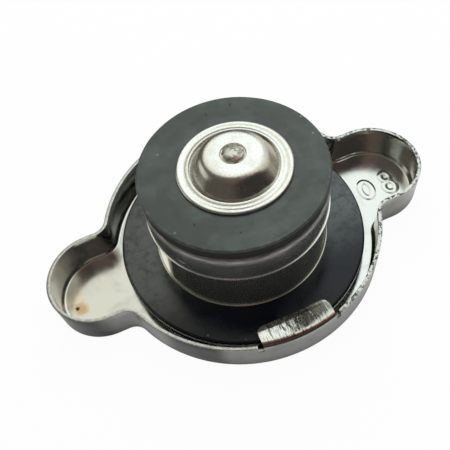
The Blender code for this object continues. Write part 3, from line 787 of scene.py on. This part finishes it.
def skirt_angles(shell, start):
    """Directions in degrees of the skirt's columns, from the ear's fillet to the tab's middle."""
    notch = math.degrees(math.acos((shell.tab_width / 2 + shell.notch_width) / shell.skirt_radius))
    angles = [start + (notch - start) * step / SKIRT_STEPS for step in range(1, SKIRT_STEPS + 1)]
    return angles + [math.degrees(math.acos(x / shell.skirt_radius)) for x, _ in tab_columns(shell)]


def tab_rows(shell, columns):
    """Rows of points from a tab's end over its flat top and down its bend."""
    bend = shell.tab_bend + shell.sheet
    top = shell.height + shell.tab_rise
    reach = shell.skirt_radius - shell.tab_length

    def wall(x):
        return math.sqrt(shell.skirt_radius**2 - x**2)

    rows = []
    for share in TAB_SHARES:
        height = top - shell.tab_droop * (1 - share)
        ends = [((reach + back) * (1 - share) + (wall(x) - bend) * share) for x, back in columns]
        rows.append([(x, y, height) for (x, _), y in zip(columns, ends)])
    for step in range(CORNER_STEPS + 1):
        angle = math.radians(90.0 - 90.0 * step / CORNER_STEPS)
        back, height = bend * (1 - math.cos(angle)), top - bend + bend * math.sin(angle)
        rows.append([(x, wall(x) - back, height) for x, _ in columns])
    return rows


def shell_quarter(shell):
    """The shell's outer surface over a quarter turn; faces of the tab carry the fourth material."""
    mesh = bmesh.new()

    def ring_of(points, height):
        return [mesh.verts.new((x, y, height)) for x, y in points]

    rim = outline_quarter(shell, 0.0)
    every = range(len(rim) - 1)
    columns = tab_columns(shell)
    first = len(rim) - len(columns)
    rim_ring = ring_of(rim, shell.height)
    notch_ring = ring_of(rim, shell.height - shell.notch_depth)
    strip(mesh, rim_ring, notch_ring, range(first - 1))
    for vert in rim_ring[first:]:
        mesh.verts.remove(vert)

    rows = [[mesh.verts.new(point) for point in row] for row in tab_rows(shell, columns)]
    rows.append(notch_ring[first:])
    for index, (upper, lower) in enumerate(zip(rows, rows[1:])):
        on_tab = index < len(TAB_SHARES) + CORNER_STEPS // 2
        strip(mesh, upper, lower, range(len(columns) - 1), len(SHEET_SIDES) if on_tab else 0)

    previous = notch_ring
    corner = shell.corner
    for step in range(CORNER_STEPS + 1):
        angle = math.radians(90.0 * step / CORNER_STEPS)
        outline = outline_quarter(shell, corner * (1 - math.cos(angle)))
        ring = ring_of(outline, corner * (1 - math.sin(angle)))
        strip(mesh, previous, ring, every)
        previous = ring

    directions = [math.atan2(y, x) for x, y in outline_quarter(shell, corner)]
    dimple, slope, depth = shell.dimple_radius, DIMPLE_SLOPE, shell.dimple_depth
    floor = [(dimple + slope, 0.0), (dimple, 0.0, slope / 2), (dimple - slope, depth, slope / 2)]
    for radius, height in fillet(floor + [(RIVET_BORE, depth)]):
        points = [(radius * math.cos(a), radius * math.sin(a)) for a in directions]
        points[0] = (radius, 0.0)
        points[-1] = (0.0, radius)
        ring = ring_of(points, height)
        strip(mesh, previous, ring, every)
        previous = ring
    return finished("shell quarter", mesh, face_out=False, sharp=False)


class CAP_OT_shell(Operator):
    """Draws the chromed shell with its skirt, finger ears and folded cam tabs"""

    bl_idname = "radiator_cap.shell"
    bl_label = "Shell"

    def execute(self, context):
        shell = context.scene.cap_shell
        edge, tab = chrome_edge(shell), chrome_tab(shell)
        materials = (chrome_outside(shell), chrome_inside(shell), edge, tab, tab, edge)
        quarter = shell_quarter(shell)
        piece = new_piece("chromed_shell", quarter, "shell_body", materials, ("shell",))
        quarters = piece.modifiers.new("Quarters", "MIRROR")
        set_all(quarters, use_axis=(True, True, False), merge_threshold=MERGE)
        sheet = piece.modifiers.new("Sheet", "SOLIDIFY")
        set_all(sheet, thickness=shell.sheet, offset=-1.0, use_even_offset=True, use_quality_normals=True)
        set_all(sheet, material_offset=1, material_offset_rim=2)
        edges = piece.modifiers.new("Edges", "BEVEL")
        set_all(edges, width=EDGE_ROUNDING, segments=2, limit_method="ANGLE", angle_limit=EDGE_ANGLE)
        edges.material = SHEET_SIDES.index("inside")
        return {"FINISHED"}


class CAP_OT_ear_number(Operator):
    """Presses a plain number into the right ear's floor, seen from its raised side"""

    bl_idname = "radiator_cap.ear_number"
    bl_label = "Ear number"

    def execute(self, context):
        shell = context.scene.cap_shell
        turn = Matrix.Rotation(shell.number_turn, 2)
        ridge = [(across * shell.number_stroke / 2, up * shell.number_rise) for across, up in NUMBER_RIDGE]
        ridge += [(-across, height) for across, height in reversed(ridge[:-1])]
        mesh = bmesh.new()
        for centre, (width, height) in NUMBER_LOOPS:
            loop = []
            for step in range(NUMBER_STEPS):
                angle = math.tau * step / NUMBER_STEPS
                away = Vector((math.cos(angle), math.sin(angle)))
                normal = turn @ Vector((away.x * height, away.y * width)).normalized()
                line = Vector(centre) + turn @ Vector((away.x * width, away.y * height))
                loop.append([mesh.verts.new((*(line + normal * a), shell.sheet + up)) for a, up in ridge])
            for before, after in zip(loop, loop[1:] + loop[:1]):
                strip(mesh, before, after, range(len(ridge) - 1))
        data = finished("ear number", mesh, sharp=False)
        new_piece("ear_number", data, "shell_body", (bpy.data.materials["chrome inside"],), ())
        return {"FINISHED"}


# The plunger


class CAP_OT_plunger(Operator):
    """Turns the neck gasket and the spring can"""

    bl_idname = "radiator_cap.plunger"
    bl_label = "Gasket and can"

    def execute(self, context):
        made = context.scene.cap_plunger
        outer, sheet, corner, foot = made.can_radius, made.can_sheet, made.can_corner, made.can_foot
        low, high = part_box("neck_gasket")
        bore, edge, face = outer + foot / 2, made.gasket_edge * 2, high.z
        profile = [(bore, low.z), (bore, face, 0.0001), (high.x, face, edge), (high.x, low.z, edge)]
        mesh = turned_mesh("gasket ring", fillet(profile + [(bore, low.z)])[:-1])
        new_piece("gasket_ring", mesh, "plunger", (gasket_rubber(made),), ("neck_gasket",))

        low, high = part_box("spring_can")
        top, lip, lip_base = outer - made.can_taper, high.x, high.z - CAN_LIP
        profile = [
            (RIVET_BORE, low.z),
            (outer, low.z, corner),
            (outer, face - 0.0001),
            (outer + foot, face),
            (outer + foot, face + 0.00006, 0.00004),
            (outer, face + foot / 2, foot / 2),
            (outer, face + 2 * foot),
            (top, lip_base, 0.0003),
            (lip, high.z - CAN_LIP / 2, 0.0002),
            (lip, high.z),
            (lip - sheet, high.z),
            (top - sheet, lip_base, 0.0003),
            (outer - sheet, low.z + sheet, corner - sheet),
            (RIVET_BORE, low.z + sheet),
        ]
        mesh = turned_mesh("can body", fillet(profile))
        new_piece("can_body", mesh, "plunger", (can_steel(made),), ("spring_can",))
        return {"FINISHED"}


# The pressure valve


class CAP_OT_pressure_valve(Operator):
    """Turns the staked valve cup and the rubber seal on it"""

    bl_idname = "radiator_cap.pressure_valve"
    bl_label = "Cup and seal"

    def execute(self, context):
        made = context.scene.cap_valve
        low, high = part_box("valve_cup")
        radius, top, rim = high.x, high.z, low.z
        sheet, corner = made.cup_sheet, made.cup_corner
        wall_radius = radius - made.cup_flare
        flare_top = rim + 4 * made.cup_flare
        drop = top - corner - flare_top
        wall = [(wall_radius, top - corner - drop * step / WALL_STEPS) for step in range(1, WALL_STEPS + 1)]
        shoulder = (wall_radius - corner, top - corner)
        profile = [(VALVE_BORE, top)] + arc(shoulder, corner, 90.0, 0.0, CORNER_STEPS) + wall
        profile += [(wall_radius, rim + 0.00021), (radius, rim + 0.00018), (radius, rim + 0.00008)]
        profile += [(radius - 0.00008, rim), (radius - sheet + 0.0001, rim), (wall_radius - sheet, flare_top)]
        profile += [(r - sheet, z) for r, z in reversed(wall[:-1])]
        profile += arc(shoulder, corner - sheet, 0.0, 90.0, CORNER_STEPS) + [(VALVE_BORE, top - sheet)]
        stake_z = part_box("spring_can")[1].z - CAN_LIP - made.stake_height / 2

        def staked(point, at_radius, angle):
            if at_radius < radius - sheet - 0.0002 or abs(point.z - stake_z) > made.stake_height:
                return point
            spacing = math.tau / made.stake_count
            off = (angle - made.stake_angle + spacing / 2) % spacing - spacing / 2
            across = off * at_radius / (made.stake_width / 2)
            up = (point.z - stake_z) / (made.stake_height / 2)
            return point - outwards(angle) * (made.stake_depth * math.exp(-((across**2 + up**2) ** 2)))

        mesh = turned_mesh("cup body", profile, segments=FINE_SEGMENTS, shape=staked)
        steel = cup_steel(made, top, rim)
        new_piece("cup_body", mesh, "pressure_valve", (steel,), ("valve_cup",))

        low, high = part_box("pressure_seal")
        radius, base, face = high.x, low.z - 0.00025, high.z
        recess, floor, edge = made.seal_recess, face - 0.0015, made.seal_edge * 2
        profile = [(VALVE_BORE, base), (VALVE_BORE, floor), (recess, floor), (recess, face, 0.0002)]
        profile += [(radius, face, edge), (radius - 0.00008, base, edge), (VALVE_BORE, base)]

        def uneven(point, at_radius, angle):
            if at_radius < recess + 0.001:
                return point
            wander = noise.noise(point * 260.0) * 0.00004 + noise.noise(point * 900.0) * 0.000015
            return point + outwards(angle) * wander

        mesh = turned_mesh("seal ring", fillet(profile)[:-1], segments=FINE_SEGMENTS, shape=uneven)
        rubber = seal_rubber(made, radius, face)
        new_piece("seal_ring", mesh, "pressure_valve", (rubber,), ("pressure_seal",))
        return {"FINISHED"}


# The vacuum valve


class CAP_OT_vacuum_valve(Operator):
    """Turns the pressed vacuum disc and its peened stem"""

    bl_idname = "radiator_cap.vacuum_valve"
    bl_label = "Vacuum valve"

    def execute(self, context):
        made = context.scene.cap_valve
        low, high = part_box("vacuum_disc")
        centre = ((low.x + high.x) / 2, (low.y + high.y) / 2)
        radius = (high.x - low.x) / 2 + made.flange_overhang
        plateau, sheet = high.z, 0.0005
        flange = plateau - 0.0030
        top = [
            (0.0019, plateau - 0.0003),
            (0.00222, plateau - 0.0003, 0.00005),
            (0.00234, plateau, 0.0001),
            (0.00590, plateau, 0.0014),
            (0.00812, flange - 0.0009, 0.0001),
            (0.00824, flange - 0.0009, 0.00005),
            (0.00832, flange - 0.00001, 0.00006),
            (0.00860, flange - 0.00001, 0.0003),
            (0.00925, flange - 0.00019, 0.0007),
            (0.00995, flange, 0.0003),
            (radius, flange - 0.00003),
        ]
        lower = [(r, z - sheet) for r, z in reversed(fillet(top, 2))]
        rim = arc((radius - sheet / 2, flange - 0.00006 - sheet / 2), sheet / 2, 80.0, -80.0, RIM_STEPS)
        disc = turned_mesh("disc body", fillet(top)[:-1] + rim + lower[1:], centre=centre)
        nickel = satin_nickel(made, centre)
        new_piece("vacuum_disc_body", disc, "vacuum_valve", (nickel,), ("vacuum_disc",))

        low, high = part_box("vacuum_stem")
        head, shoulder, stem = made.stem_head, made.stem_shoulder, 0.0016
        base, under = plateau - 0.00028, plateau - 0.0011
        dome = base + 0.00012
        turns = [math.radians(degrees) for degrees in range(10, 91, 10)]
        top = [(0.0, high.z)]
        top += [(head * math.sin(turn), dome + (high.z - base - 0.00012) * math.cos(turn)) for turn in turns]
        top += [(head, base), (stem, base), (stem, under), (shoulder, under), (shoulder, under - 0.0006)]
        top += [(stem, under - 0.0006), (stem, low.z + 0.0008), (head, low.z + 0.0008)]
        top += [(head, low.z + 0.0003), (head - 0.0005, low.z), (0.0, low.z)]

        def hammered(point, at_radius, angle):
            if point.z < base:
                return point
            return point + Vector((0.0, 0.0, noise.noise(point * 900.0) * 0.00008 - 0.00004))

        pin = turned_mesh(
            "stem body", top, closed=False, centre=centre, segments=STEM_SEGMENTS, shape=hammered
        )
        steel = peened_steel(made)
        new_piece("vacuum_stem_body", pin, "vacuum_valve", (steel,), ("vacuum_stem",))
        return {"FINISHED"}


# The springs


def coil_line(radius, turns, first, last, wire):
    """Points of a compression spring whose end turns are closed."""
    closed_rise = wire + SEAT_GAP
    active_rise = (last - first) - 2 * closed_rise
    count = round(turns * COIL_POINTS)
    points = []
    for step in range(count + 1):
        turn = turns * step / count
        if turn < 1:
            height = first + closed_rise * turn
        elif turn < turns - 1:
            height = first + closed_rise + active_rise * (turn - 1) / (turns - 2)
        else:
            height = last - closed_rise * (turns - turn)
        angle = math.tau * turn
        points.append(Vector((radius * math.cos(angle), radius * math.sin(angle), height)))
    return points


def coil_mesh(name, points, wire):
    """Sweeps a round wire along a coil around the Z axis and closes its two ends."""
    mesh = bmesh.new()
    rings = []
    for index, point in enumerate(points):
        along = (points[min(index + 1, len(points) - 1)] - points[max(index - 1, 0)]).normalized()
        out = Vector((point.x, point.y, 0.0)).normalized()
        up = along.cross(out).normalized()
        out = up.cross(along)
        ring = []
        for step in range(WIRE_SIDES):
            angle = math.tau * step / WIRE_SIDES
            ring.append(mesh.verts.new(point + (out * math.cos(angle) + up * math.sin(angle)) * wire / 2))
        rings.append(ring)
    for before, after in zip(rings, rings[1:]):
        strip(mesh, before, after, range(WIRE_SIDES))
    mesh.faces.new(rings[0])
    mesh.faces.new(rings[-1])
    return finished(name, mesh)


class CAP_OT_springs(Operator):
    """Winds the main spring and the vacuum spring as fixed coils, though in the cap they are squeezed as
    their valves slide
    """

    bl_idname = "radiator_cap.springs"
    bl_label = "Springs"

    def execute(self, context):
        made = context.scene.cap_springs
        steel = plated_steel("spring steel", tuple(made.spring_colour), 0.30, 0.6)[0]
        main, vacuum = (made.main_wire, made.main_turns), (made.vacuum_wire, made.vacuum_turns)
        for name, node, body, joint, (wire, turns), hung in (
            ("main_coil", "main_spring", "plunger", "pressure_slide", main, False),
            ("vacuum_coil", "vacuum_spring", "pressure_valve", "vacuum_slide", vacuum, True),
        ):
            low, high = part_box(node)
            line = coil_line(high.x - wire / 2, turns, low.z + wire / 2, high.z - wire / 2, wire)
            mesh = coil_mesh(name.replace("_", " "), line, wire)
            piece = new_piece(name, mesh, body, (steel,), (node,))
            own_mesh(piece)
        return {"FINISHED"}


class CAP_OT_inner_parts(Operator):
    """Gives the pieces inside the cap their finishes"""

    bl_idname = "radiator_cap.inner_parts"
    bl_label = "Inner parts"

    def execute(self, context):
        zinc = plated_steel("zinc steel", (0.50, 0.49, 0.45), 0.32, 0.4)[0]
        spring = bpy.data.materials["spring steel"]
        for name in ("centre_rivet", "rivet_washer", "seal_ferrule", "spring_washer", "diaphragm_spring"):
            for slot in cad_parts[name].material_slots:
                slot.material = spring if name == "diaphragm_spring" else zinc
        return {"FINISHED"}


# The stage


def facing(direction, towards):
    return vectors("DOT_PRODUCT", direction, Vector(towards).normalized(), "Value")


def stage_world(stage):
    """Even light for surfaces, white for the camera, and a dim studio with soft patches for reflections."""
    world = bpy.data.worlds.new("studio")
    bpy.context.scene.world = world
    world.use_nodes = True
    tree = world.node_tree
    direction = tree.nodes.new("ShaderNodeTexCoord").outputs["Generated"]
    rays = tree.nodes.new("ShaderNodeLightPath").outputs
    studio = ROOM_COLOUR
    for towards, start, full, colour in STUDIO_PATCHES:
        studio = mixed(ramp(facing(direction, towards), start, full), studio, colour)
    overhead = ramp(axes(direction)["Z"], -0.1, 0.7, stage.sky * 0.25, stage.sky)
    even = new_node("ShaderNodeCombineColor", (overhead, overhead, overhead)).outputs[0]
    lit = mixed(rays["Is Glossy Ray"], even, studio)
    feed(tree.nodes["Background"].inputs["Color"], mixed(rays["Is Camera Ray"], lit, WHITE))


def stage_floor(stage):
    """A pale floor that is white to the camera apart from the cap's soft shadow."""
    mesh = bmesh.new()
    bmesh.ops.create_grid(mesh, x_segments=1, y_segments=1, size=FLOOR_SIZE)
    data = bpy.data.meshes.new("floor")
    mesh.to_mesh(data)
    mesh.free()
    floor = new_object("floor", data)
    floor.location.z = -FLOOR_DROP
    material, shader, where = new_finish("floor", 0.0, 0.8, tuple(stage.floor_colour))
    tree = material.node_tree
    rays = tree.nodes.new("ShaderNodeLightPath").outputs
    glossy = rays["Is Glossy Ray"]
    far = ramp(use_group("Turned place", Where=where)["Radius"], 0.10, 0.16)
    glow = mixed(times(glossy, far), WHITE, ROOM_COLOUR)
    glow = new_node("ShaderNodeEmission", {"Color": glow}).outputs[0]
    mirrored = times(glossy, ramp(far, 0.0, 1.0, 0.18, 0.95))
    share = maths("MAXIMUM", times(rays["Is Camera Ray"], 0.96), mirrored)
    mix = new_node("ShaderNodeMixShader", (share, shader.outputs[0], glow)).outputs[0]
    feed(tree.nodes["Material Output"].inputs["Surface"], mix)
    data.materials.append(material)


def area_light(name, power, size, location):
    """A round soft light that points at the cap and leaves no mirror image of itself."""
    light = set_all(bpy.data.lights.new(name, "AREA"), energy=power, shape="DISK", size=size)
    lamp = new_object(name, light)
    set_all(lamp, location=location, rotation_mode="QUATERNION", visible_glossy=False)
    lamp.rotation_quaternion = (Vector(LIT_POINT) - Vector(location)).to_track_quat("-Z", "Y")


class CAP_OT_stage(Operator):
    """Sets the camera, the pale floor and the soft studio light"""

    bl_idname = "radiator_cap.stage"
    bl_label = "Stage"

    def execute(self, context):
        stage = context.scene.cap_stage
        data = bpy.data.cameras.new("camera")
        set_all(data, sensor_width=36.0, lens=stage.lens, clip_start=0.001, clip_end=10.0)
        camera = new_object("camera", data)
        camera.matrix_world = Matrix.Translation(CAMERA_PLACE) @ Matrix(CAMERA_AXES).transposed().to_4x4()
        context.scene.camera = camera

        stage_world(stage)
        stage_floor(stage)
        area_light("key", stage.key_power, 0.30, (0.12, 0.27, 0.36))
        area_light("fill", stage.fill_power, 0.35, (0.05, 0.05, 0.50))
        context.scene.view_settings.view_transform = "Standard"
        return {"FINISHED"}


class CAP_PT_panel(Panel):
    """Lists the cap's sizes, colours and steps"""

    bl_idname = "CAP_PT_panel"
    bl_label = "Radiator Cap"
    bl_space_type = "VIEW_3D"
    bl_region_type = "UI"
    bl_category = "Radiator Cap"

    def draw(self, context):
        for operator in OPERATORS:
            self.layout.operator(operator.bl_idname)
        for name in SETTINGS:
            settings = getattr(context.scene, name)
            column = self.layout.box().column()
            for label in settings.__annotations__:
                column.prop(settings, label)


SETTINGS = {
    "cap_shell": ShellSettings,
    "cap_plunger": PlungerSettings,
    "cap_valve": ValveSettings,
    "cap_springs": SpringSettings,
    "cap_stage": StageSettings,
}
OPERATORS = (
    CAP_OT_stage,
    CAP_OT_shell,
    CAP_OT_ear_number,
    CAP_OT_plunger,
    CAP_OT_pressure_valve,
    CAP_OT_vacuum_valve,
    CAP_OT_springs,
    CAP_OT_inner_parts,
)


def register():
    for name, settings in SETTINGS.items():
        bpy.utils.register_class(settings)
        setattr(bpy.types.Scene, name, PointerProperty(type=settings))
    for operator in OPERATORS:
        bpy.utils.register_class(operator)
    bpy.utils.register_class(CAP_PT_panel)


def unregister():
    bpy.utils.unregister_class(CAP_PT_panel)
    for operator in reversed(OPERATORS):
        bpy.utils.unregister_class(operator)
    for name, settings in reversed(SETTINGS.items()):
        delattr(bpy.types.Scene, name)
        bpy.utils.unregister_class(settings)


def main():
    register()
    for make_group in (group_specks, group_spot, group_grain, group_turned_place, group_tilt):
        make_group()
    bpy.ops.radiator_cap.stage()
    bpy.ops.radiator_cap.shell()
    bpy.ops.radiator_cap.ear_number()
    bpy.ops.radiator_cap.plunger()
    bpy.ops.radiator_cap.pressure_valve()
    bpy.ops.radiator_cap.vacuum_valve()
    bpy.ops.radiator_cap.springs()
    bpy.ops.radiator_cap.inner_parts()
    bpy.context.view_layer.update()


if __name__ == "__main__":
    main()
